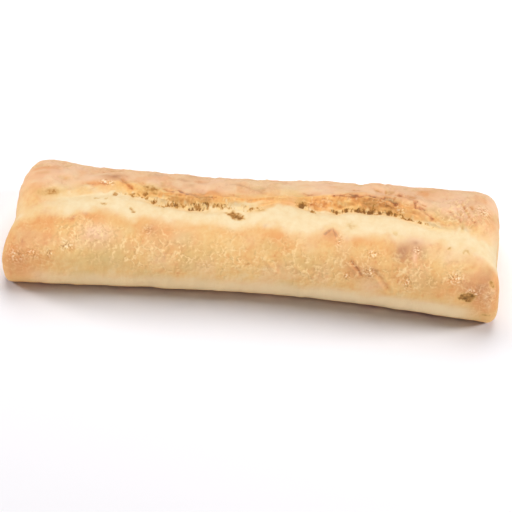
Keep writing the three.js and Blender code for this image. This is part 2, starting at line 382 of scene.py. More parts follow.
# Zones of the surface: shares from 0 to 1, with heights in millimetres

# Noise that makes it uneven: a height or a share, a size in millimetres and a track number
UNEVEN = dict(
    border=[(1.2, 3.4, 23), (1.2, 7, 31)],
    plain_edge=[(3, 5, 25), (1.5, 2, 34)],
    bridge=[(2, 3, 44)],
    torn_grain=[(1, 1.1, 18)],
    crag_place=[(0.6, 2, 47)],
    crag_shade=[(0.5, 2.6, 54)],
    holes=[(0.3, 1.1, 51)],
    hollows=[(0.5, 1.4, 40)],
    creases=[(0.4, 2, 26)],
    foot=[(1.8, 9, 3)],
    end_blush=[(4, 9, 56)],
    blush_level=[(4, 14, 57)],
    folds=[(0.5, 3, 36)],
    lumps=[(0.5, 7, 29), (0.5, 3.6, 30)],
    crust=[(0.22, 6, 7), (0.16, 2.8, 8), (0.07, 1.3, 9)],
    bake=[(0.1, 26, 5), (0.12, 9, 6), (0.1, 4, 11)],
    orange=[(0.5, 5, 38)],
    rim=[(1, 8, 39)],
    brown=[(0.4, 2.5, 52)],
    blush=[(0.3, 9, 12)],
    scabs=[(0.5, 1.8, 17)],
)

# Waves along the loaf, given in the same way
WAVES = dict(
    border=[(0.8, 5, 22)],
    crag_breadth=[(0.4, 2.2, 48)],
    bottom=[(0.8, 8, 35)],
    foot=[(0.7, 11, 53), (0.45, 4, 53)],
)

# Soft patches: a size, a track number, and the noise at which a patch starts and is full
PATCHES = dict(
    flaky=(12, 13, -0.2, 0.5),
    pores=(1.7, 16, 0.5, 0.85),
    orange=(8, 46, 0.1, 0.6),
    blush=(10, 19, 0.1, 0.6),
    olive=(11, 33, 0, 0.6),
)
WARP_TRACKS = (41, 42, 43)


def uneven(skin, kind):
    return layers(skin, UNEVEN[kind])


def waves(x, kind):
    return sum(height * noise_along(x, size, track) for height, size, track in WAVES[kind])


def patches(skin, kind, drop=0):
    """Where the noise of a kind of patch, less a drop, is high."""
    size, track, start, full = PATCHES[kind]
    return smoothstep(noise_at(skin, size, track) - drop, start, full)


def warped(skin, size, shift):
    """Skin points moved about a little, so that what is drawn round a line comes out uneven."""
    return skin + shift * np.stack([noise_at(skin, size, track) for track in WARP_TRACKS], axis=-1)


def parts(skin):
    return skin[..., 0], skin[..., 1], skin[..., 2]


# Single places, here and below, are in millimetres: a centre, a reach along each axis and a strength

# The pale band in the opened slash
BAND_BLUR = 3.6
BAND_LEVEL = (18, 30)
BAND_SHOWS = along((-1, 0.25), (-0.86, 0.45), (-0.72, 1), (1, 1))
BAND_CLIMB = along(
    (-1, 0), (-0.48, 0), (-0.43, 0.3), (-0.36, 0.3), (-0.3, 0.15), (-0.2, 0.15), (-0.12, 0.3),
    (-0.04, 0.5), (0.03, 0.5), (0.08, 0.25), (0.14, 0), (0.6, 0), (0.72, 0.25), (1, 0.4),
)
BRIDGE_PLACE = 13
BRIDGE_REACH = 11
GAP_PLACES = [
    ((81, -23, 37), (9, 5, 6), 1), ((85, -17, 39.5), (6, 3.5, 4), 0.7),
    ((42, -16, 38.4), (5, 4.5, 5), 1),
]
PALE_PLACES = [
    ((129, -14, 33), (7, 8, 9), 1), ((-79, 1.5, 38), (11, 3, 4), 0.7),
    ((-102, 1.6, 38.3), (9, 3, 5), 0.35), ((-96, -6, 36.8), (7, 3, 4), 0.3),
    ((-90, 3.2, 38), (4, 1.5, 4), 0.35), ((108, -23, 38), (12, 4, 5), 0.6),
    ((106, -9.5, 42), (8, 2.5, 4), 0.5), ((19, 14, 39), (14, 6, 6), 0.5),
    ((-46, -32, 23.4), (6, 4, 5), 0.4), ((31.6, -21.8, 34), (5, 4, 5), 0.3),
    ((0, -21, 33.5), (5, 4, 5), 0.2), ((-10, 17, 37), (14, 5, 5), 0.2),
    # The places at x 124 to 127 below z 26 are painted highlights on the facets of the right front corner
    ((95.2, 7.6, 43.1), (3, 2.5, 4), 0.35), ((123.9, -35.5, 22.9), (1.2, 2, 3), 0.4),
    ((127, -34, 25), (1.5, 2, 3), 0.4), ((126.4, -36.8, 16.8), (1.2, 2, 2.5), 0.35),
    ((-123.6, -17, 32), (3, 3, 5), 0.45),
]


def band_zone(skin, fields):
    """The smooth pale crumb in front of the tear, and the line where it meets the front crust."""
    x, y, z = parts(skin)
    place, face = x / HALF_LENGTH, fields["face"]
    border = BAND_FRONT(place) + waves(x, "border") + uneven(skin, "border")
    opened = smoothstep(y, border - BAND_BLUR, border + BAND_BLUR)
    behind = y - fields["crevice_y"]
    closed_plain = smoothstep(behind + uneven(skin, "plain_edge"), -2, 6)
    rag_share, rag_size = 0.9, 1.7
    rag = rag_share * noise_on_sheet(x / rag_size, y / rag_size, 7)
    past_climb = smoothstep((face - BAND_CLIMB(place)) * (1 + rag), 0.03, 0.35)
    closed_torn = np.maximum(past_climb, smoothstep(face, 0.7, 0.9))
    bridge = bell(x - BRIDGE_PLACE, BRIDGE_REACH) * smoothstep(behind + uneven(skin, "bridge"), -5, 0)
    closed = np.maximum(lerp(closed_plain, closed_torn, fields["torn"]), bridge)
    band = opened * (1 - closed) * smoothstep(z, *BAND_LEVEL) * BAND_SHOWS(place)
    band = band * (1 - np.clip(spots(skin, GAP_PLACES), 0, 1))
    return np.clip(band + spots(skin, PALE_PLACES), 0, 1), border


# The torn face: its streams, strands, teeth and grain have a share each in its height and its tone
TEAR_SHOWS = along(
    (-1, 0), (-0.72, 0), (-0.6, 0.5), (-0.52, 1), (0.5, 1), (0.58, 0.9), (0.68, 0.3), (0.78, 0), (1, 0),
)
RAGGED = along(
    (-1, 0.3), (-0.55, 0.4), (-0.4, 0.9), (-0.1, 1), (0.1, 0.5), (0.2, 1), (0.5, 1), (0.6, 0.5),
    (0.75, 0.4), (1, 0.3),
)
TORN_HEIGHTS = (0.35, 0.3, 0.5, 0.12)
TORN_TONES = (0.4, 0.35, 0.25, 0.2)
FACE_BAKE = along(
    (-1, 0.2), (-0.7, 0.2), (-0.5, 0.3), (-0.33, 0.48), (0, 0.4), (0.25, 0.46), (0.5, 0.54), (0.7, 0.48),
    (1, 0.3),
)
FACE_PLACES = [
    ((-25.5, -1, 39), (4, 4, 4), 0.25), ((33.3, 1.7, 40.2), (8, 4, 5), 0.35),
    ((62, 4.2, 41.7), (9, 4, 5), 0.12), ((48, 3.6, 42.3), (5, 3, 4), -0.25),
]


def torn_texture(skin, fields):
    """Height and tone of the torn face: streaks that run along the tear."""
    x, face = skin[..., 0], fields["face"]
    stream_length, strand_length, tooth_length = 12, 4.5, 3
    stream_rows, slant, strands_to_stream, tooth_rows, tooth_start = 4, 0.04, 2.6, 2.5, 5.5
    across = stream_rows * face + slant * x
    streams = noise_on_sheet(x / stream_length, across, 3)
    strands = noise_on_sheet(x / strand_length, strands_to_stream * across, 8)
    teeth = noise_on_sheet(x / tooth_length, tooth_rows * face + tooth_start, 3) * (1 - 0.8 * face)
    kinds = (streams, strands, teeth, uneven(skin, "torn_grain"))
    height = sum(share * kind for share, kind in zip(TORN_HEIGHTS, kinds))
    tone = sum(share * kind for share, kind in zip(TORN_TONES, kinds))
    ragged = RAGGED(x / HALF_LENGTH)
    return ragged * height, ragged * tone


# The row of crags along the crevice: how strongly it shows, how far behind the crevice and how broad it is;
# the crags are painted dark as shade in their clefts
CRAG_SHOWS = along(
    (-1, 0), (-0.62, 0), (-0.58, 0.3), (-0.47, 0.4), (-0.44, 0.6), (-0.37, 0.6), (-0.33, 0.9),
    (-0.29, 0.9), (-0.226, 1), (-0.205, 1), (-0.19, 0.9), (-0.18, 0.5), (-0.15, 0.7), (-0.117, 0.6),
    (-0.08, 0.2), (-0.034, 0.45), (0.02, 0.55), (0.035, 0.3), (0.06, 0), (0.15, 0), (0.172, 0.85),
    (0.21, 0.9), (0.225, 0.3), (0.238, 0.7), (0.25, 0.2), (0.3, 0.25), (0.32, 0.85), (0.4, 0.85),
    (0.47, 0.95), (0.53, 0.9), (0.6, 0.85), (0.64, 0.6), (0.7, 0.4), (0.78, 0.1), (1, 0),
)
CRAG_PLACE = along(
    (-0.58, 1), (-0.46, 1), (-0.43, 0.5), (-0.38, 0.2), (-0.34, 1), (-0.25, 1.2), (-0.205, 2.4),
    (-0.14, 2.2), (-0.09, 2), (-0.03, 1), (0.02, -1.2), (0.06, 0), (0.17, 0.6), (0.21, 0), (0.24, -0.5),
    (0.317, 1.2), (0.385, 0.5), (0.475, 0.9), (0.53, 0.8), (0.6, 0.6), (0.665, 0.6), (1, 0),
)
CRAG_BREADTH = along(
    (-0.58, 1.7), (-0.46, 1.8), (-0.43, 4), (-0.38, 4.6), (-0.33, 3), (-0.26, 3.4), (-0.205, 4.6),
    (-0.17, 3), (-0.03, 3), (0.03, 3), (0.17, 3.2), (0.21, 3.4), (0.24, 1.6), (0.317, 2.2), (0.4, 2.4),
    (0.475, 3.4), (0.53, 2.2), (0.56, 1.5), (0.6, 1.4), (1, 1.2),
)
CRAG_LEVEL = (28, 34)


def crag_row(skin, fields):
    """The row of crags along the crevice, painted dark as shade, and a soft painted shade round it."""
    x, y, z = parts(skin)
    place = x / HALF_LENGTH
    away = np.abs(y - fields["crevice_y"] - CRAG_PLACE(place) + uneven(skin, "crag_place"))
    breadth = CRAG_BREADTH(place) * (1 + waves(x, "crag_breadth"))
    row = 1 - smoothstep(away, 0.2 * breadth, 0.7 * breadth)
    shade = 0.3 * bell(away, 1.2 * breadth) * (1 + uneven(skin, "crag_shade"))
    shows = CRAG_SHOWS(place) * smoothstep(z, *CRAG_LEVEL)
    return shows * row, shows * shade


# Holes: a line of places, the half width, the depth, and how dark they are painted, as shade inside them
HOLES = [
    ([(-15.2, -4.8, 38), (-9.8, -7.8, 38), (-4.8, -10.2, 38)], 1.5, 0.4, 0.55),
    ([(-11.4, -6.9, 38), (-7.2, -8.9, 38)], 3.8, 0.7, 0.7),
    ([(-8, -9, 38), (-5.6, -10, 38)], 1.5, 0.8, 0.95),
    ([(112.4, -35.4, 20.4), (116, -35.6, 20.4)], 3.8, 0.8, 0.7),
    ([(113.4, -35.5, 19.4), (115.4, -35.5, 19.6)], 1.8, 0.9, 0.95),
    ([(-65, -8, 37), (-63, -11, 37)], 1.3, 0.4, 0.5),
    ([(-81.6, -7, 37), (-79.4, -7.3, 37)], 1.5, 0.3, 0.5),
    ([(-85.5, -4, 37), (-83, -3.7, 37)], 0.9, 0.2, 0.4),
    ([(-79.6, -3, 37), (-78.2, -2.9, 37)], 1, 0.2, 0.45),
    ([(-76.2, 1.2, 36), (-74.8, 1.4, 36)], 1.1, 0.3, 0.6),
    ([(-69.8, 2, 36), (-68.9, 2.1, 36)], 0.9, 0.3, 0.55),
    ([(-67, 2.4, 36), (-65.4, 2.5, 36)], 1.1, 0.3, 0.65),
    ([(-63.6, 2.1, 36), (-62.6, 2, 36)], 0.9, 0.3, 0.55),
    ([(-60.2, 2.2, 36.6), (-58.8, 2.2, 36.6)], 1.1, 0.3, 0.65),
    ([(75, -14, 41), (75.6, -14, 41)], 1.5, 0.3, 0.35),
    ([(101.5, -19.6, 40), (102.4, -19.8, 40)], 1.2, 0.3, 0.45),
    ([(110.5, -21, 39), (113, -21, 39)], 1.1, 0.3, 0.35),
    ([(30.6, -1.7, 38.4), (31.8, -1.9, 38.4)], 1.2, 0.5, 0.7),
    ([(126, -31.6, 29), (127, -32.8, 27.2)], 2.2, 0.4, 0.5),
    ([(124.5, -37, 10.5), (127, -37, 10)], 1, 0.3, 0.5),
]
HOLE_WARPS = [(2.6, 0.9), (1.2, 0.6)]

# Soft hollows, with how dark they are painted, as shade in them
HOLLOWS = [
    ((-114.2, -4, 37.8), (3.8, 1.8, 6), 0.42), ((-108.4, -2.3, 37.5), (3.4, 1.8, 6), 0.72),
    ((52, -10.8, 41), (2.2, 2.2, 6), 0.5), ((-57, 4.6, 39.6), (5.4, 3, 6), 0.52),
    ((-53.6, 2.9, 39.6), (1.8, 1.6, 6), 0.4), ((109.2, -7.2, 42.8), (1.1, 1.9, 4), 0.55),
    ((3.1, -3.4, 38.4), (3, 1.4, 4), 0.5),
]


def hole_zone(skin):
    """How dark the holes are painted, as shade inside them, and their height."""
    moved = skin
    for size, shift in HOLE_WARPS:
        moved = warped(moved, size, shift)
    dark = np.zeros(skin.shape[:-1])
    height = np.zeros(skin.shape[:-1])
    for line, half_width, depth, darkness in HOLES:
        near = 1 - smoothstep(line_distance(moved, line), 0.4 * half_width, half_width)
        near = near * (0.9 + uneven(skin, "holes"))
        dark = np.maximum(dark, darkness * near)
        height = np.minimum(height, -depth * near)
    return dark, height


# Creases: a line of places, the half width, the depth, below 0 for a ridge, and how brown they are
# The brown of a crease is browner crust with painted shade in its groove; the lines from x -90 to x -27 are
# painted shadow lines along the lip of the tear
CREASES = [
    (
        [(83.7, 5, 44.3), (83.9, 1.7, 44.8), (88.1, 1.8, 44.1), (89.9, -1.8, 44.2), (93.6, -4, 43.1)],
        0.8, 0.6, 0.45,
    ),
    ([(53.6, -26.7, 30.5), (56.6, -28.9, 27.5), (59.2, -30.2, 25.1)], 0.8, 0.9, 0.6),
    ([(65.3, -29.6, 27.8), (69.3, -30.9, 25.2), (71.9, -32.1, 21.2), (74.5, -32.8, 17.8)], 1, 0.8, 0.15),
    ([(8.8, -27.2, 26.8), (15.3, -30.2, 20.6)], 1, -0.4, 0),
    ([(23.7, -29, 24.2), (34.6, -30.8, 20.6)], 1.1, -0.4, 0),
    ([(-90, 5.3, 38), (-82, 6.1, 38)], 1, 0.4, 0.45),
    ([(-73.5, 10.8, 38), (-70.2, 6.9, 38), (-67.5, 4.8, 37.5)], 1.1, 0.6, 0.4),
    ([(-49.5, 4, 39.5), (-43.5, 2.6, 39.8)], 0.9, 0.5, 0.7),
    ([(-41, 3.4, 40), (-36.8, 1.9, 40.5)], 1, 0.5, 0.8),
    ([(-32.5, 1.5, 40.5), (-26.7, 0.2, 40.3)], 1, 0.5, 0.8),
    ([(-16, 14, 38), (-9, 13.5, 38.5), (2.6, 8.7, 40)], 1.4, 0.5, 0.2),
    ([(62, 16, 42), (72, 12, 43), (84, 10, 44)], 1.4, 0.5, 0.2),
    ([(68, 8, 44), (74.5, 3.5, 44.5)], 1, 0.6, 0.7),
    (
        [(41.2, 7.2, 43.6), (49.1, 6, 44.9), (57.4, 8.6, 44), (61.4, 7.9, 44.3), (68, 6.5, 44.3)],
        1.0, 0.5, 0.45,
    ),
    ([(75, 12.5, 43), (82, 8, 44), (89, 4, 44)], 1, 0.6, 0.3),
    ([(108.7, 9.5, 43), (110.6, 5.3, 43), (112.3, 0.5, 43), (115.3, -3, 43)], 0.9, 0.5, 0.3),
    ([(113, 8, 43), (115.5, 2.5, 43), (119, -4, 42)], 0.8, 0.4, 0.22),
    ([(105, 9, 43), (106.5, 4, 43.5), (109.5, 0, 43)], 0.8, 0.4, 0.2),
    ([(97, 2, 43.5), (103, 3, 43.5), (108, -3.5, 43)], 0.8, 0.5, 0.3),
    ([(109.5, -8, 42.5), (112, -9.4, 41.8)], 0.8, 0.4, 0.5),
    ([(-95, -18.5, 35.5), (-92.5, -16.2, 36), (-87.3, -15.2, 36)], 1.3, 0.3, 0.25),
    ([(38.6, -16.4, 38), (42.4, -13.3, 39), (44.6, -16.8, 38)], 0.8, 0.3, 0.7),
]
CREASE_WARP = (2.6, 0.5)


def crease_zone(skin):
    """How brown the creases are, browner crust with painted shade in each groove, and their height, with a
    fold beside each one.
    """
    moved = warped(skin, *CREASE_WARP)
    brown = np.zeros(skin.shape[:-1])
    height = np.zeros(skin.shape[:-1])
    for line, half_width, depth, brownness in CREASES:
        distance = line_distance(moved, line)
        groove = bell(distance, half_width)
        fold = 0.6 * bell(distance - 2.2 * half_width, 1.4 * half_width)
        brown = np.maximum(brown, brownness * groove)
        height = height + depth * (fold - groove)
    return brown, height


# The foot and the bottom edge
FOOT_STRIP = (9, 17)
FOOT_SHARE = along((-1, 0), (-0.92, 0.1), (-0.8, 0.6), (0, 0.8), (0.3, 1), (0.84, 1), (0.93, 0.1), (1, 0))
FOOT_WAVES_END = (4, 12)
EDGE_LEVEL = (1.6, 3.8)


def foot_zone(skin):
    """The pale strip along the foot, and the skin above the bottom edge, which is painted darker: browner
    crust with painted contact shade.
    """
    x, _, z = parts(skin)
    above_edge = smoothstep(z + waves(x, "bottom"), *EDGE_LEVEL)
    strip = 1 - smoothstep(z + uneven(skin, "foot"), *FOOT_STRIP)
    return FOOT_SHARE(x / HALF_LENGTH) * strip * above_edge, above_edge


def foot_waves(skin):
    """How far the foot stands out unevenly across the loaf."""
    x, y, z = parts(skin)
    return np.sign(y) * waves(x, "foot") * (1 - smoothstep(z, *FOOT_WAVES_END))


# The back lobe: levels, the ends where its blush blurs, and the thin dashes along its lip
BACK_LEVEL = (26, 34)
BLUSH_LEVEL = (20, 32)
BLUSH_BLUR = (4, 12)
END_BLUR = 12
END_PLACE = (112, 128)
DASH_LEVEL = (30, 36)
DASH_PLACE = 0.6
DASH_REACH = 2.2


def back_zone(skin, fields):
    """The back lobe behind its lip and behind the crevice, and its folds, crest highlight and lumps: painted
    shade goes in the folds, a painted highlight on each crest, and painted light and shade on the lumps.
    """
    x, y, z = parts(skin)
    from_lip = y - fields["lip_y"]
    past_lip = lerp(smoothstep(from_lip, -4, 6), smoothstep(from_lip, -0.5, 0.5), fields["torn"])
    behind_lip = past_lip * smoothstep(z, *BACK_LEVEL)
    at_end = smoothstep(np.abs(x), *END_PLACE)
    start, full = BLUSH_BLUR
    behind = y - fields["crevice_y"] + at_end * uneven(skin, "end_blush")
    behind = smoothstep(behind, start - END_BLUR * at_end, full + END_BLUR * at_end)
    behind = behind * smoothstep(z + uneven(skin, "blush_level"), *BLUSH_LEVEL)
    length, lean, breadth, turn = 9, 12, 3, 35
    marks = noise_on_sheet(x / length + y / lean, y / breadth - x / turn, 4) + uneven(skin, "folds")
    folds = smoothstep(marks, 0.2, 0.8) * behind_lip
    crest_highlight = smoothstep(-marks, 0.2, 0.8) * behind_lip
    lumps = behind_lip * uneven(skin, "lumps")
    return dict(behind_lip=behind_lip, behind=behind, folds=folds, crest_highlight=crest_highlight, lumps=lumps)


def lip_dashes(skin, fields):
    """Thin brown dashes along the lip of the tear: its browned edge, with painted shadow under the lip."""
    x, y, z = parts(skin)
    from_lip = y - fields["lip_y"]
    length, breadth, slant = 7, 0.9, 0.08
    short_length, short_breadth = 2, 0.8
    dashes = noise_on_sheet(x / length, from_lip / breadth + slant * x, 6)
    dashes = dashes + 0.5 * noise_on_sheet(x / short_length, from_lip / short_breadth, 8)
    dashes = smoothstep(dashes, 0.2, 0.8) * fields["torn"]
    return dashes * bell(from_lip - DASH_PLACE, DASH_REACH) * smoothstep(z, *DASH_LEVEL)


# The crust: where it is flaky, on the front flank and mirrored on the back flank, and how far it is baked;
# the flakes are painted in as highlights and shade
FLAKY_PLACES = [
    ((-96, -26, 32), (14, 8, 8), 0.8), ((-72, -29, 28), (18, 9, 10), 1),
    ((-42, -29, 26), (16, 9, 9), 1), ((-10, -28, 26), (18, 9, 10), 1),
    ((30, -29, 26), (24, 9, 10), 0.9), ((66, -27, 30), (16, 9, 9), 0.7), ((96, -30, 28), (16, 8, 9), 0.8),
    ((108, 6, 43), (16, 12, 8), 0.6),
]
MIRROR = (1, -1, 1)
CRUST_BAKE = 0.4
FAR_SIDE = (15, 29)
LOW_LEVEL = (10, 26)
BASE_LEVEL = 0.1
BASE_BAKE = 0.6
# EDGE_BAKE darkens the bottom edge: browner crust with painted contact shade
EDGE_BAKE = 0.7


def crust_texture(skin):
    """Fine height of the crust, where it is flaky and gets painted flake highlights and shade, and where it
    has brown pores.
    """
    flaky = 0.4 * patches(skin, "flaky") + spots(skin, FLAKY_PLACES) + spots(skin * MIRROR, FLAKY_PLACES)
    pores = patches(skin, "pores")
    return uneven(skin, "crust") - 0.15 * pores, np.clip(flaky, 0, 1), pores


def crust_bake(skin, fields, back, pores):
    """How far the crust is baked, with dashes of browned edge and painted shadow along the lip, painted shade
    in the back's folds, painted light and shade on its lumps, and a little browner crust and painted shade
    towards the far side.
    """
    _, y, z = parts(skin)
    low_down = (1 - back["behind"]) * (1 - smoothstep(z, *LOW_LEVEL))
    bake = CRUST_BAKE + uneven(skin, "bake") + 0.5 * lip_dashes(skin, fields) + 0.2 * pores
    # Painted shade in the folds of the back, and painted highlights on its lumps with shade between them
    bake = bake + 0.16 * back["folds"] - 0.25 * back["lumps"]
    # A little darker towards the far side: browner crust and painted shade
    return bake + 0.05 * smoothstep(y, *FAR_SIDE) - 0.12 * low_down


def face_bake(skin, fields, tone):
    """How far the torn face is baked: more towards its top."""
    bake = FACE_BAKE(skin[..., 0] / HALF_LENGTH) + spots(skin, FACE_PLACES)
    return bake + 0.3 * (fields["face"] - 0.45) - 0.5 * tone


# Tints of the crust
ORANGE_PLACES = [
    ((-123, -37, 18), (14, 10, 14), 1), ((-108, -24, 33.5), (6, 6, 6), 0.9),
    ((-95, -20.5, 35), (7, 4, 5), -0.4), ((-85, -18, 35), (7, 3, 4), 0.6),
    ((-53, -21, 33), (7, 5, 7), 0.9), ((-43, -21, 33), (4, 4, 7), 0.6), ((-1, -22, 32), (6, 6, 9), 0.2),
    ((14, -19, 35), (6, 4, 5), 0.7), ((42, -17, 38), (5, 4, 4), 0.6), ((57, -18, 38), (9, 2.5, 3), 0.8),
    ((56, -29, 27), (8, 5, 6), 0.7), ((105, -33, 24), (14, 6, 6), 0.6), ((124, -35, 18), (9, 9, 12), 0.9),
    ((123, -33, 27), (6, 5, 8), 1), ((-24, 2.2, 41), (9, 3.4, 4), 1),
    ((0, 1.5, 39), (9, 2.2, 4), 0.8), ((20, 4, 39), (8, 2.2, 4), 0.8), ((-86, 5.8, 38), (7, 1.6, 4), 1),
    ((-119, 12, 37), (9, 12, 8), 0.5), ((-78, 12, 38.3), (6, 3.4, 5), 0.8),
    ((89.9, 16.9, 41.6), (6, 4, 4), 0.6), ((96.5, 21.4, 39.5), (6, 4, 4), 0.4),
    ((123.1, 3.1, 40.6), (5, 5, 5), 0.6),
]
BROWN_PLACES = [
    # The places near x 80 to 90 shade the blister there: painted shadow on its lower side, less brown on its
    # painted highlight streak, and painted shade on its right
    ((80, -24, 36), (5, 4, 5), 0.8), ((84, -20.5, 38), (7, 5, 5), 0.55),
    ((86, -24.6, 35.4), (1.4, 3.2, 4.5), -0.6), ((85.9, -17.9, 39), (1.3, 1, 3), 0.4),
    ((90, -23, 36), (1.6, 3, 4), 0.35), ((-78, 12, 38.3), (6, 3.4, 5), 0.75),
    ((124, -28.5, 32.9), (3.5, 4, 4), 0.55), ((121.9, -32.5, 29.4), (4.5, 3.5, 4), 0.45),
    ((122, -34, 22), (8, 6, 8), 0.35), ((115, -34, 26), (6, 4, 4), 0.3),
    ((-122, -37, 20), (9, 8, 9), 0.25), ((-120, -28, 30), (9, 5, 6), 0.18),
    ((42, -16, 38), (2.6, 2, 4), 0.4), ((57, -29.5, 27), (5, 3, 4), 0.35),
    ((64, -29, 28.6), (5, 4, 5), 0.3), ((48, -25.5, 31), (7, 5, 6), 0.2),
    ((-79, -28, 30), (7, 4, 5), 0.25), ((-53, -20, 34), (4, 3, 4), 0.35),
    ((-9.4, 12.8, 39), (4.5, 1.6, 3), 0.6), ((2, 10, 40), (4, 1.8, 3), 0.4),
    ((-36.4, 9.5, 39), (2.5, 1.6, 3), 0.5), ((-40.6, 15.5, 37), (3.5, 1.5, 3), 0.55),
    ((-55.7, 18.1, 36.3), (4, 2, 4), 0.5), ((-37.7, 20.8, 34.5), (3, 2, 3), 0.5),
    ((-25, 20.5, 35), (7, 2, 4), 0.5), ((109, -7.5, 43), (1.7, 2.2, 4), 0.6),
    ((80.7, 9.9, 43.6), (6, 3.5, 4), 0.3), ((65, 7.4, 44), (5, 2, 3), 0.4), ((49, 7, 44), (4, 2, 3), 0.3),
    ((112.4, 9.5, 42.8), (6, 5, 4), 0.2),
]
PINK_PLACES = [
    # The first place is the painted highlight streak on the blister near x 86
    ((85.8, -24, 36), (1.5, 3.2, 4.5), 0.9), ((86, -17, 39.5), (6, 3.5, 4), 0.7),
    ((-82, -24, 33), (8, 5, 7), 0.8), ((-36, -23, 32), (8, 4, 6), 0.5), ((103, -23, 37), (2, 5, 7), 0.5),
    ((120, -22, 37), (3, 6, 7), 0.5), ((64, -32, 19), (6, 6, 5), 0.5),
]
OLIVE_PLACES = [
    ((-80, -34, 22), (16, 6, 6), 0.9), ((-67, -30, 27), (8, 5, 6), 0.5),
    ((-25, -28, 27), (10, 6, 8), 0.5), ((-47, -24, 31.5), (8, 6, 6), 0.5),
    ((-63.6, -20.6, 33.3), (6, 4, 5), 0.4), ((30, -28, 27), (14, 6, 6), 0.6),
    # The place at x 90.8 is painted shade on the right of the blister near x 86
    ((94, -32, 25), (7, 5, 5), 0.8), ((90.8, -22.8, 36.2), (1.5, 2.5, 4), 0.8),
    ((2, 9.6, 40), (4, 1.6, 3), 0.6),
]
RIM_SETBACK = 3.5
RIM_REACH = 3
RIM_LEVEL = (22, 32)
OLIVE_HEIGHT = 20


def tint_zones(skin, back, border, bake):
    """Where the crust is tinted orange, brown, pink and olive."""
    _, y, z = parts(skin)
    front = 1 - back["behind"]
    rim = bell(y - border + RIM_SETBACK, RIM_REACH) * smoothstep(z, *RIM_LEVEL)
    orange = spots(skin, ORANGE_PLACES) * (1 + uneven(skin, "orange"))
    orange = orange + 0.4 * rim * (0.6 + uneven(skin, "rim"))
    orange = orange + 0.5 * back["behind_lip"] * patches(skin, "orange")
    brown = spots(skin, BROWN_PLACES) * (1 + uneven(skin, "brown"))
    plain = 1 - smoothstep(bake, 0.55, 0.85)
    blush = 0.85 * back["behind"] * (1 + uneven(skin, "blush")) * plain + spots(skin, PINK_PLACES)
    blush = blush + 0.25 * patches(skin, "blush") * front
    olive = spots(skin, OLIVE_PLACES) + 0.5 * patches(skin, "olive", 0.03 * (z - OLIVE_HEIGHT)) * front
    # The folds add painted shade to the olive tint
    return dict(orange=orange, brown=brown, blush=blush, olive=olive + 0.5 * back["folds"])


# The whole surface: scabs, blisters and the depth of its relief
SCAB_PLACES = [
    ((126, -35, 22), (3, 4, 7), 0.35), ((117, -35, 23.5), (3.4, 3, 2.6), 1),
    ((107.5, -31, 29.5), (3.6, 3, 3), 1), ((87, -21.5, 37.5), (1.8, 1.6, 2.5), 1),
    ((83, -32, 24), (2.4, 3.5, 4.5), 0.8), ((63, -30, 27), (3, 3, 3), 0.9),
    ((64, -24, 34), (4, 2, 2.5), 0.8), ((52, -30.5, 23), (2, 2, 2), 0.8),
    ((-81, 7.2, 38.5), (4, 1.5, 4), 1), ((-54, -20, 33), (3, 3, 3), 0.4),
    ((76.5, 1, 42.3), (2.5, 2, 4), 0.8), ((120, 6, 42), (4, 4, 4), 0.7), ((-22, -32, 22), (3, 2, 2), 0.7),
    ((8, -31, 24), (4, 2, 3), 0.5), ((-122, -36.5, 23), (4, 3, 4), 0.7),
    ((-113.2, -35.6, 24.3), (3, 2, 2), 0.8), ((-104.5, -34.9, 24.5), (1.8, 1.8, 1.8), 1),
    ((-95.6, -31.7, 28), (4, 2.5, 2.5), 0.8), ((46.5, -19.5, 37), (1.6, 3, 3), 0.7),
]
BLISTERS = [
    ((19.5, -18.8, 35.4), (5, 4, 5), 0.6), ((12.5, -19, 35.5), (4, 3, 4), 0.3),
    ((85, -21, 37.5), (6, 5, 5), 0.5),
]
ABOVE_BASE = (1, 6)
BACK_FADE = (22, 30)
DEEP_DEPTH = 0.6

# Wrinkles of the band: a height, a length along the loaf, a breadth across it and a track number
WRINKLES = [(0.07, 8, 1.7, 3), (0.06, 1.9, 6, 5)]


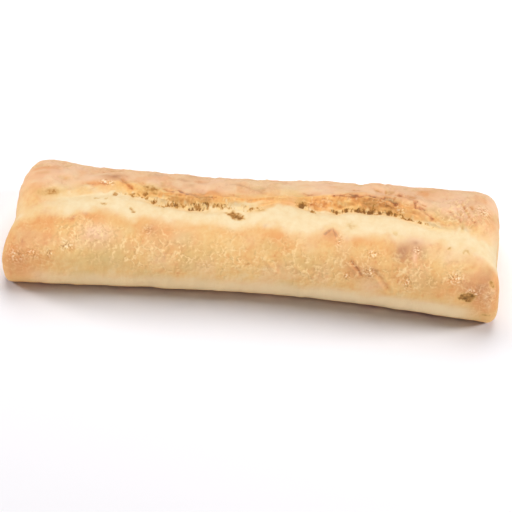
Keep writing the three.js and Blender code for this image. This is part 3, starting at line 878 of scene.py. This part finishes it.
def surface(skin, fields):
    """The fine relief outward, and how strongly each kind of surface shows."""
    x, y, z = parts(skin)
    place, face = x / HALF_LENGTH, fields["face"]
    band, border = band_zone(skin, fields)
    torn = fields["torn"] * smoothstep(face, 0, 0.12) * (1 - smoothstep(face, 0.85, 1)) * TEAR_SHOWS(place)
    torn = torn * (1 - band)
    torn_height, torn_tone = torn_texture(skin, fields)
    crust_height, flaky, pores = crust_texture(skin)
    crags, crag_shade = crag_row(skin, fields)
    # Painted shade in the soft hollows and round the crags; the same mask sinks them in the relief below
    hollow_shade = np.maximum(crag_shade, spots(skin, HOLLOWS) * (1 + uneven(skin, "hollows")))
    holes, hole_height = hole_zone(skin)
    creases, crease_height = crease_zone(skin)
    foot, above_edge = foot_zone(skin)
    back = back_zone(skin, fields)
    scab = spots(skin, SCAB_PLACES)

    bake = lerp(crust_bake(skin, fields, back, pores), face_bake(skin, fields, torn_tone), torn)
    # Creases get browner crust and painted shade in their grooves, and the bottom edge browner crust and
    # painted contact shade
    bake = bake + creases * (1 + uneven(skin, "creases")) + EDGE_BAKE * (1 - above_edge)
    bake = np.where(z < BASE_LEVEL, BASE_BAKE, bake)
    # Each crest of the back takes the pale foot tint as a painted highlight
    foot = np.maximum(foot, 0.35 * back["crest_highlight"])
    flaky = lerp(flaky * (1 - foot), 0.55 * RAGGED(place), torn) * (1 - 0.9 * band)

    relief = smoothstep(z, *ABOVE_BASE) * (1 - 0.85 * band) * (1 - torn) * crust_height + torn * torn_height
    wrinkles = [
        height * noise_on_sheet(x / length, y / breadth, track)
        for height, length, breadth, track in WRINKLES
    ]
    near_lip = 1 - smoothstep(y - fields["lip_y"], *BACK_FADE)
    relief = relief + band * sum(wrinkles) + (back["lumps"] - 0.4 * back["folds"]) * near_lip
    relief = relief + spots(skin, BLISTERS) + scab * uneven(skin, "scabs")
    relief = relief - DEEP_DEPTH * np.maximum(hollow_shade, 0.8 * crags) + hole_height + crease_height
    zones = dict(band=band, torn=torn, hollow_shade=np.maximum(hollow_shade, holes), foot=foot, bake=bake)
    zones.update(tint_zones(skin, back, border, bake), flaky=flaky, scab=scab, crags=crags)
    return relief, {name: np.clip(zone, 0, 1) for name, zone in zones.items()}


# The loaf


def unwrap(points):
    """Places on the bake map for the corners of the faces: the skin as one sheet, and each end as a disc."""
    rows, columns = points.shape[:2]
    rings = END_RINGS - 1
    u = np.linspace(MAP_EDGE, 1 - MAP_EDGE, columns - 2 * rings)
    u = np.pad(u, rings, mode="edge")
    steps = np.linalg.norm(np.roll(points, -1, axis=0) - points, axis=-1).mean(axis=1)
    v = MAP_EDGE + np.concatenate([[0], np.cumsum(steps)]) / steps.sum() * (SHEET_TOP - MAP_EDGE)
    sheet = np.stack(np.broadcast_arrays(u, v[:, None]), axis=-1)

    share = np.zeros(columns)
    share[:rings + 1] = np.linspace(1 / END_RINGS, 1, rings + 1)
    share[columns - rings - 1:] = share[:rings + 1][::-1]
    turn = np.linspace(0, 2 * np.pi, rows + 1)[:, None]
    middle = np.where(np.arange(columns) < columns / 2, *DISC_PLACES)
    disc_u = middle + DISC_RADIUS * share * np.cos(turn)
    disc_v = DISC_LEVEL + DISC_RADIUS * share * np.sin(turn)
    disc = np.stack([disc_u, disc_v], axis=-1)

    def corners(grid):
        return np.stack([grid[:-1, :-1], grid[:-1, 1:], grid[1:, 1:], grid[1:, :-1]], axis=2)

    def fan(place, ring, next_ring):
        tip = np.broadcast_to([place, DISC_LEVEL], (rows, 2))
        return np.stack([tip, ring, next_ring], axis=1).reshape(-1, 2)

    quad = np.arange(columns - 1)
    on_end = (quad < rings) | (quad >= columns - 1 - rings)
    quads = np.where(on_end[None, :, None, None], corners(disc), corners(sheet))
    left_fan = fan(DISC_PLACES[0], disc[:-1, 0], disc[1:, 0])
    right_fan = fan(DISC_PLACES[1], disc[1:, -1], disc[:-1, -1])
    return np.concatenate([quads.reshape(-1, 2), left_fan, right_fan])


def loaf_faces(rows, columns):
    """Quads over the skin, then a fan of triangles round the tip of each end."""
    index = np.arange(rows * columns).reshape(rows, columns)
    after = np.roll(index, -1, axis=0)
    quads = np.stack([index[:, :-1], index[:, 1:], after[:, 1:], after[:, :-1]], axis=-1).reshape(-1, 4)
    first_tip, last_tip = rows * columns, rows * columns + 1
    faces = quads.tolist()
    faces += [(first_tip, a, b) for a, b in zip(index[:, 0].tolist(), after[:, 0].tolist())]
    faces += [(last_tip, b, a) for a, b in zip(index[:, -1].tolist(), after[:, -1].tolist())]
    return faces


def fitted(vertices):
    """The points moved and scaled to fill the box of the solid."""
    low, high = (np.array(corner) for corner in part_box("loaf"))
    raw_low, raw_high = vertices.min(axis=0), vertices.max(axis=0)
    return low + (vertices - raw_low) * (high - low) / (raw_high - raw_low)


def add_object(name, data):
    item = bpy.data.objects.new(name, data)
    bpy.context.scene.collection.objects.link(item)
    return item


def make_loaf():
    points, fields = loaf_form()
    relief, zones = surface(points, fields)
    points = points + skin_normals(points) * relief[..., None]
    points[..., 1] += foot_waves(points)
    tips = np.array([points[:, 0].mean(axis=0), points[:, -1].mean(axis=0)])
    vertices = fitted(np.concatenate([points.reshape(-1, 3), tips]))

    mesh = bpy.data.meshes.new("loaf_crust")
    mesh.from_pydata(vertices.tolist(), [], loaf_faces(*points.shape[:2]))
    mesh.polygons.foreach_set("use_smooth", [True] * len(mesh.polygons))
    mesh.uv_layers.new(name="OFBake").data.foreach_set("uv", unwrap(points).astype(np.float32).reshape(-1))
    for name, field in zones.items():
        values = np.concatenate([field.reshape(-1), [field[:, 0].mean(), field[:, -1].mean()]])
        mesh.attributes.new(name, "FLOAT", "POINT").data.foreach_set("value", values.astype(np.float32))
    mesh.update()
    return add_object("loaf_crust", mesh)


# Materials

# Numbers of the colour sockets of a mix node
MIX_FIRST = 6
MIX_SECOND = 7
MIX_RESULT = 2


def linear(colour):
    """A colour given as it looks on screen, 0 to 255, as the shader needs it, by the sRGB curve."""
    def channel(value):
        share = value / 255
        return share / 12.92 if share <= 0.04045 else ((share + 0.055) / 1.055) ** 2.4

    return (*map(channel, colour), 1)


class Nodes:
    """Short calls for building a material's nodes."""

    def __init__(self, name):
        self.material = bpy.data.materials.new(name)
        self.material.use_nodes = True
        self.tree = self.material.node_tree
        self.shader = self.tree.nodes["Principled BSDF"]
        self.on_loaf = self.add("TexCoord", "Object", {})

    def link(self, value, socket):
        if isinstance(value, bpy.types.NodeSocket):
            self.tree.links.new(value, socket)
        else:
            socket.default_value = value

    def add(self, kind, output, inputs, **settings):
        """A new node with its settings and inputs, of which one output is handed back."""
        node = self.tree.nodes.new("ShaderNode" + kind)
        for name, value in settings.items():
            setattr(node, name, value)
        for socket, value in inputs.items():
            self.link(value, node.inputs[socket])
        return node.outputs[output]

    def attribute(self, name):
        return self.add("Attribute", "Fac", {}, attribute_name=name)

    def moved(self, place, stretch, shift):
        return self.add("VectorMath", "Vector", {0: place, 1: stretch, 2: shift}, operation="MULTIPLY_ADD")

    def noise(self, scale, detail=3.0, roughness=0.55, shift=(0, 0, 0), stretch=(1, 1, 1)):
        """Noise with so many lumps for each metre, scaled along each axis and moved by a shift."""
        place = self.moved(self.on_loaf, stretch, shift)
        inputs = {"Vector": place, "Scale": scale, "Detail": detail, "Roughness": roughness}
        return self.add("TexNoise", "Fac", inputs)

    def cells(self, scale, stir, shift):
        """Distance from the borders of uneven cells, for a place that is stirred about a little."""
        place = self.moved(self.on_loaf, (1, 1, 1), shift)
        stirring = self.add("TexNoise", "Color", {"Vector": place, "Scale": 2 * scale})
        place = self.moved(stirring, (stir, stir, stir), place)
        inputs = {"Vector": place, "Scale": scale}
        return self.add("TexVoronoi", "Distance", inputs, feature="DISTANCE_TO_EDGE")

    def maths(self, operation, a, b):
        return self.add("Math", 0, {0: a, 1: b}, operation=operation)

    def spread(self, value, low, high, to_low=0.0, to_high=1.0):
        """The value, with the span from low to high laid over the span from to_low to to_high."""
        limits = {"From Min": low, "From Max": high, "To Min": to_low, "To Max": to_high}
        return self.add("MapRange", "Result", {"Value": value, **limits})

    def ramp(self, value, stops):
        colour = self.add("ValToRGB", "Color", {"Fac": value})
        elements = colour.node.color_ramp.elements
        while len(elements) < len(stops):
            elements.new(0.5)
        for element, (place, tone) in zip(elements, stops):
            element.position = place
            element.color = linear(tone)
        return colour

    def mix(self, share, a, b):
        return self.add("Mix", MIX_RESULT, {0: share, MIX_FIRST: a, MIX_SECOND: b}, data_type="RGBA")

    def bump(self, height, strength, distance, **under):
        inputs = {"Height": height, "Strength": strength, "Distance": distance, **under}
        return self.add("Bump", "Normal", inputs)


CRUST_COLOURS = [
    (0.0, (238, 204, 148)),
    (0.25, (236, 194, 130)),
    (0.45, (234, 184, 118)),
    (0.65, (228, 164, 100)),
    (0.85, (204, 132, 80)),
    (1.0, (150, 92, 54)),
]
FACE_COLOURS = [
    (0.0, (248, 208, 146)),
    (0.3, (242, 190, 118)),
    (0.55, (234, 168, 98)),
    (0.8, (206, 132, 72)),
    (1.0, (160, 94, 48)),
]
CRUMB_COLOURS = [(0.0, (238, 210, 160)), (1.0, (242, 222, 181))]
# Colours of the painted shade in the crags
CRAG_SHADE_COLOURS = [(0.0, (228, 182, 112)), (0.5, (194, 140, 72)), (1.0, (140, 96, 44))]
# Colours of the painted shade in the hollows and holes
HOLLOW_SHADE_COLOURS = [(0.2, (224, 182, 112)), (0.5, (192, 138, 72)), (0.9, (124, 84, 38))]
# Flakes, painted as light and shade: the painted highlight, the painted shade, and the shift in metres from
# the lit side to the shaded side
FLAKE_HIGHLIGHT = (248, 216, 160)
FLAKE_PAINTED_SHADE = (196, 148, 88)
SHADE_SIDE_SHIFT = (0.0008, 0, -0.0008)
FLECK_COLOUR = (250, 216, 154)
FLECK_SHIFT = (0.05, 0, 0)
CRAG_STRETCH = (1, 0.5, 0.5)

# Tints: a zone, its strongest share and its colour
TINTS = [
    ("blush", 0.8, (242, 199, 166)),
    ("olive", 0.8, (214, 182, 120)),
    ("orange", 0.8, (230, 158, 96)),
    ("brown", 0.9, (190, 136, 98)),
    # The foot tint also paints the highlight on each crest of the back
    ("foot", 0.85, (242, 218, 176)),
]

# Specks of the scabs: the noise where they start and are full, and their colour, for pits and then for crumbs
SPECKS = [((0.44, 0.36), (176, 112, 62)), ((0.56, 0.62), (255, 234, 196))]


def shaded_mottled_bake(nodes, middle):
    """The bake, made uneven by noise and by painted light and shade on the sides of small painted lumps."""
    fine = nodes.noise(scale=950)
    lumps = nodes.noise(scale=210, detail=2)
    lump_light_and_shade = nodes.maths("SUBTRACT", nodes.noise(scale=210, detail=2, shift=SHADE_SIDE_SHIFT), lumps)
    mottle_and_shading = nodes.spread(middle, 0.25, 0.75, -0.1, 0.1)
    mottle_and_shading = nodes.maths("ADD", mottle_and_shading, nodes.spread(fine, 0.25, 0.75, -0.03, 0.03))
    mottle_and_shading = nodes.maths("ADD", mottle_and_shading, nodes.spread(lump_light_and_shade, -0.12, 0.12, -0.12, 0.12))
    return nodes.maths("ADD", nodes.attribute("bake"), mottle_and_shading)


def plates(nodes, shift=(0, 0, 0)):
    """Small plates of raised crust with uneven edges, whose sides get a painted highlight and painted shade.
    """
    return nodes.spread(nodes.noise(scale=160, detail=2.5, roughness=0.6, shift=shift), 0.51, 0.56)


def strokes(nodes, shift=(0, 0, 0)):
    """Thin edges of small flakes, broken up so that only short strokes show."""
    edges = nodes.spread(nodes.cells(scale=230, stir=0.003, shift=shift), 0.09, 0)
    gaps = nodes.spread(nodes.noise(scale=300, detail=1.5, shift=shift), 0.48, 0.58)
    return nodes.maths("MULTIPLY", edges, gaps)


def with_flakes(nodes, colour):
    """The colour with flakes painted in as light and shade: the painted shade on the shaded side of each kind
    before the painted highlight on its lit side.
    """
    flaky = nodes.attribute("flaky")
    plate_light_and_shade = nodes.maths("SUBTRACT", plates(nodes), plates(nodes, SHADE_SIDE_SHIFT))
    plate_light_and_shade = nodes.maths("MULTIPLY", plate_light_and_shade, flaky)
    shaded = nodes.maths("MULTIPLY", strokes(nodes, SHADE_SIDE_SHIFT), flaky)
    lit = nodes.maths("MULTIPLY", strokes(nodes), flaky)
    sides = [(plate_light_and_shade, -1, 0.35, FLAKE_PAINTED_SHADE), (plate_light_and_shade, 1, 0.65, FLAKE_HIGHLIGHT)]
    sides += [(shaded, 1, 0.5, FLAKE_PAINTED_SHADE), (lit, 1, 0.85, FLAKE_HIGHLIGHT)]
    for side, full, share, tone in sides:
        colour = nodes.mix(nodes.spread(side, 0, full, 0, share), colour, linear(tone))
    return colour


def with_specks(nodes, colour):
    """The colour with the dark pits and pale crumbs of the scabs."""
    noise, scab = nodes.noise(scale=900, detail=1), nodes.attribute("scab")
    for edge, tone in SPECKS:
        colour = nodes.mix(nodes.maths("MULTIPLY", nodes.spread(noise, *edge), scab), colour, linear(tone))
    return colour


def with_hollows(nodes, colour):
    """The colour with painted shade in the hollows and holes and round the crags."""
    hollow_shade = nodes.spread(nodes.noise(scale=500, roughness=0.65), 0.3, 0.7, 0.6, 1.4)
    hollow_shade = nodes.maths("MULTIPLY", nodes.attribute("hollow_shade"), hollow_shade)
    return nodes.mix(nodes.spread(hollow_shade, 0, 0.55), colour, nodes.ramp(hollow_shade, HOLLOW_SHADE_COLOURS))


def with_crags(nodes, colour):
    """The colour with the ragged crags painted dark as shade in their clefts, and pale flecks of crumb
    between them.
    """
    row = nodes.attribute("crags")
    rough = nodes.spread(nodes.noise(scale=420, roughness=0.7, stretch=CRAG_STRETCH), 0.3, 0.7, -0.8, 0.7)
    dark = nodes.spread(nodes.maths("ADD", row, rough), 0.35, 1.1)
    dark = nodes.maths("MULTIPLY", dark, nodes.spread(row, 0, 0.3))
    colour = nodes.mix(nodes.spread(dark, 0, 0.5), colour, nodes.ramp(dark, CRAG_SHADE_COLOURS))
    flecks = nodes.noise(scale=520, detail=2, shift=FLECK_SHIFT, stretch=CRAG_STRETCH)
    flecks = nodes.spread(flecks, 0.53, 0.62, 0, 0.8)
    flecks = nodes.maths("MULTIPLY", flecks, nodes.spread(row, 0.1, 0.6))
    return nodes.mix(flecks, colour, linear(FLECK_COLOUR))


def crust_material():
    nodes = Nodes("baked_crust")
    middle = nodes.noise(scale=260)
    bake = shaded_mottled_bake(nodes, middle)
    colour = nodes.ramp(bake, CRUST_COLOURS)
    for zone, share, tone in TINTS:
        colour = nodes.mix(nodes.maths("MULTIPLY", nodes.attribute(zone), share), colour, linear(tone))
    crumb = nodes.ramp(nodes.spread(middle, 0.3, 0.7), CRUMB_COLOURS)
    colour = nodes.mix(nodes.attribute("band"), colour, crumb)
    colour = nodes.mix(nodes.attribute("torn"), colour, nodes.ramp(bake, FACE_COLOURS))
    for add in (with_flakes, with_specks, with_hollows, with_crags):
        colour = add(nodes, colour)
    grain = nodes.bump(nodes.noise(scale=2600), strength=0.25, distance=0.0004)
    bumps = nodes.bump(nodes.noise(scale=800, detail=4), strength=0.35, distance=0.0008, Normal=grain)
    nodes.link(colour, nodes.shader.inputs["Base Color"])
    nodes.link(0.75, nodes.shader.inputs["Roughness"])
    nodes.link(0.3, nodes.shader.inputs["Specular IOR Level"])
    nodes.link(bumps, nodes.shader.inputs["Normal"])
    return nodes.material


# Studio: a plain pale floor, soft lights round the loaf, and a camera at the photograph's angle

CAMERA_AZIMUTH = 7.13
CAMERA_ELEVATION = 46.64
CAMERA_DISTANCE = 0.8
CAMERA_TARGET = Vector((0.00307, -0.01626, 0.018))
CAMERA_LENS = 107.5
FLOOR_SIZE = 6.0
FLOOR_COLOUR = (0.95, 0.94, 0.96, 1)
FLOOR_ROUGHNESS = 0.9
WORLD_COLOUR = (1, 0.88, 0.98, 1)
WORLD_STRENGTH = 0.1
LIGHT_TARGET = (0, 0, 0.02)

# Lights: a name, what it lights, its place, width and height in metres, and its power in watts
LIGHTS = [
    ("loaf_key", "loaf", (0.05, 0.15, 1.3), 0.7, 0.7, 14.1),
    ("loaf_fill", "loaf", (0, -1.55, 0.5), 2.4, 0.5, 11.9),
    ("loaf_right_light", "loaf", (1.2, -0.15, 0.3), 0.4, 0.4, 4.2),
    ("loaf_left_light", "loaf", (-1.2, 0.1, 0.3), 0.4, 0.4, 5),
    ("floor_light", "floor", (0, 0.7, 1.18), 1.2, 1.3, 18),
    ("right_end_light", "floor", (1.2, 0.17, 0.4), 0.3, 0.3, 13),
    ("left_end_light", "floor", (-1.2, 0.3, 0.4), 0.3, 0.3, 9),
]


def make_floor():
    half = FLOOR_SIZE / 2
    corners = [(-half, -half, 0), (half, -half, 0), (half, half, 0), (-half, half, 0)]
    mesh = bpy.data.meshes.new("floor")
    mesh.from_pydata(corners, [], [(0, 1, 2, 3)])
    material = bpy.data.materials.new("floor_white")
    material.use_nodes = True
    shader = material.node_tree.nodes["Principled BSDF"]
    shader.inputs["Base Color"].default_value = FLOOR_COLOUR
    shader.inputs["Roughness"].default_value = FLOOR_ROUGHNESS
    mesh.materials.append(material)
    floor = add_object("floor", mesh)
    return floor


def aim(item, target):
    item.rotation_euler = (Vector(target) - item.location).to_track_quat("-Z", "Y").to_euler()


def make_light(name, lit, location, width, height, power):
    """A soft white light that lights one object only, while the whole scene casts its shadows."""
    light = bpy.data.lights.new(name, "AREA")
    light.shape = "RECTANGLE"
    light.size = width
    light.size_y = height
    light.energy = power
    lamp = add_object(name, light)
    lamp.location = location
    aim(lamp, LIGHT_TARGET)
    lit_by_lamp = bpy.data.collections.new(name)
    lit_by_lamp.objects.link(lit)
    lamp.light_linking.receiver_collection = lit_by_lamp


def make_world():
    world = bpy.data.worlds.new("studio")
    world.use_nodes = True
    background = world.node_tree.nodes["Background"]
    background.inputs["Color"].default_value = WORLD_COLOUR
    background.inputs["Strength"].default_value = WORLD_STRENGTH
    bpy.context.scene.world = world


def make_camera():
    camera = add_object("camera", bpy.data.cameras.new("camera"))
    azimuth, elevation = math.radians(CAMERA_AZIMUTH), math.radians(CAMERA_ELEVATION)
    away = Vector((
        math.sin(azimuth) * math.cos(elevation),
        -math.cos(azimuth) * math.cos(elevation),
        math.sin(elevation),
    ))
    camera.location = CAMERA_TARGET + CAMERA_DISTANCE * away
    camera.data.lens = CAMERA_LENS
    aim(camera, CAMERA_TARGET)
    bpy.context.scene.camera = camera


def make_studio(loaf):
    lit_objects = dict(loaf=loaf, floor=make_floor())
    make_world()
    for name, lit, *setting in LIGHTS:
        make_light(name, lit_objects[lit], *setting)
    make_camera()
    bpy.context.scene.view_settings.view_transform = "Standard"


loaf = make_loaf()
loaf.data.materials.append(crust_material())
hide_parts("loaf")
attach(loaf, "root")
make_studio(loaf)
